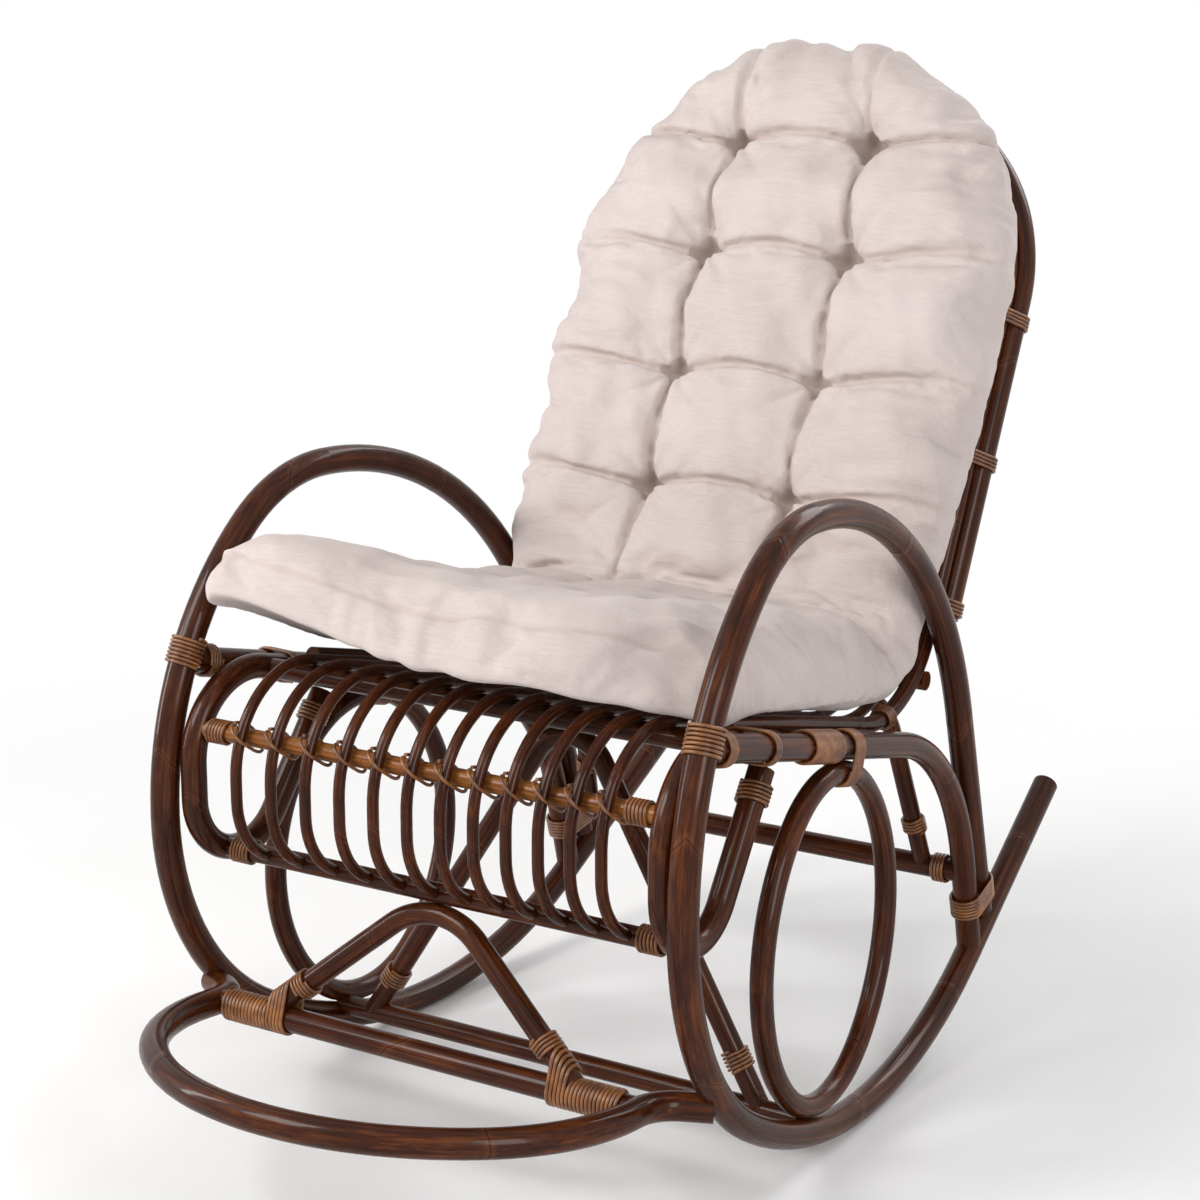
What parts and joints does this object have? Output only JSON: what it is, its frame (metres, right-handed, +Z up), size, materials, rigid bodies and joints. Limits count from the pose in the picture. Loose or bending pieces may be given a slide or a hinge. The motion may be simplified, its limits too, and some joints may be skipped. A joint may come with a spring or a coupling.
{
  "type": "rocking chair",
  "caption": "Bent rattan rocking chair with looped arms that run into the rockers, oval side rings, a ribbed apron and back, cane-bound joints and a loose tufted cushion.",
  "frame": {"origin": "on the floor, below the middle of the chair's outline", "axes": "+X the sitter's left, -Y the front, +Z up"},
  "size_m": [0.609, 1.1227, 1.0384],
  "materials": {
    "rattan_dark": "dark red-brown lacquered rattan, glossy",
    "rattan_light": "orange-brown lacquered rattan, glossy",
    "cane": "golden brown split cane, satin",
    "cotton": "cream cotton cloth, matt"
  },
  "bodies": {
    "frame": {"apron_front_rail": "rattan_light", "apron_hoop_left": "rattan_dark", "apron_hoop_right": "rattan_dark", "apron_hoop_wraps": "cane", "apron_lower_rail": "rattan_dark", "back_arch": "rattan_dark", "back_lower_rail": "rattan_dark", "back_upper_rail": "rattan_dark", "back_wraps": "cane", "front_arch": "rattan_dark", "front_arch_wraps": "cane", "front_bow": "rattan_dark", "front_rail_wraps": "cane", "front_stretcher": "rattan_dark", "lower_rail_wraps": "cane", "middle_arch": "rattan_dark", "middle_arch_wraps": "cane", "middle_stretcher": "rattan_dark", "oval_hoop_left": "rattan_dark", "oval_hoop_right": "rattan_dark", "post_wraps": "cane", "rail_bands": "cane", "rail_end_wraps": "cane", "rail_long_wraps": "cane", "rail_oval_wraps": "cane", "rear_arch": "rattan_dark", "rear_arch_wraps": "cane", "rear_leg_wraps": "cane", "rear_stretcher": "rattan_dark", "rear_stretcher_wraps": "cane", "rib_01": "rattan_dark", "rib_02": "rattan_dark", "rib_03": "rattan_dark", "rib_04": "rattan_dark", "rib_05": "rattan_dark", "rib_06": "rattan_dark", "rib_07": "rattan_dark", "rib_08": "rattan_dark", "rib_09": "rattan_dark", "rib_10": "rattan_dark", "rib_11": "rattan_dark", "rib_12": "rattan_dark", "rib_lashings": "cane", "rocker_hoop_left": "rattan_dark", "rocker_hoop_right": "rattan_dark", "seat_front_rail": "rattan_dark", "seat_middle_rail": "rattan_dark", "seat_rail_left": "rattan_dark", "seat_rail_right": "rattan_dark", "seat_rear_rail": "rattan_dark", "seat_shell_pole": "rattan_dark", "shell_wraps": "cane", "stretcher_wraps": "cane"},
    "cushion": {"cushion": "cotton"}
  },
  "joints": [
    {"name": "cushion_lift", "type": "slide", "parent": "frame", "child": "cushion", "axis": [0, 0, 1], "range_m": [0, 0.25]}
  ]
}
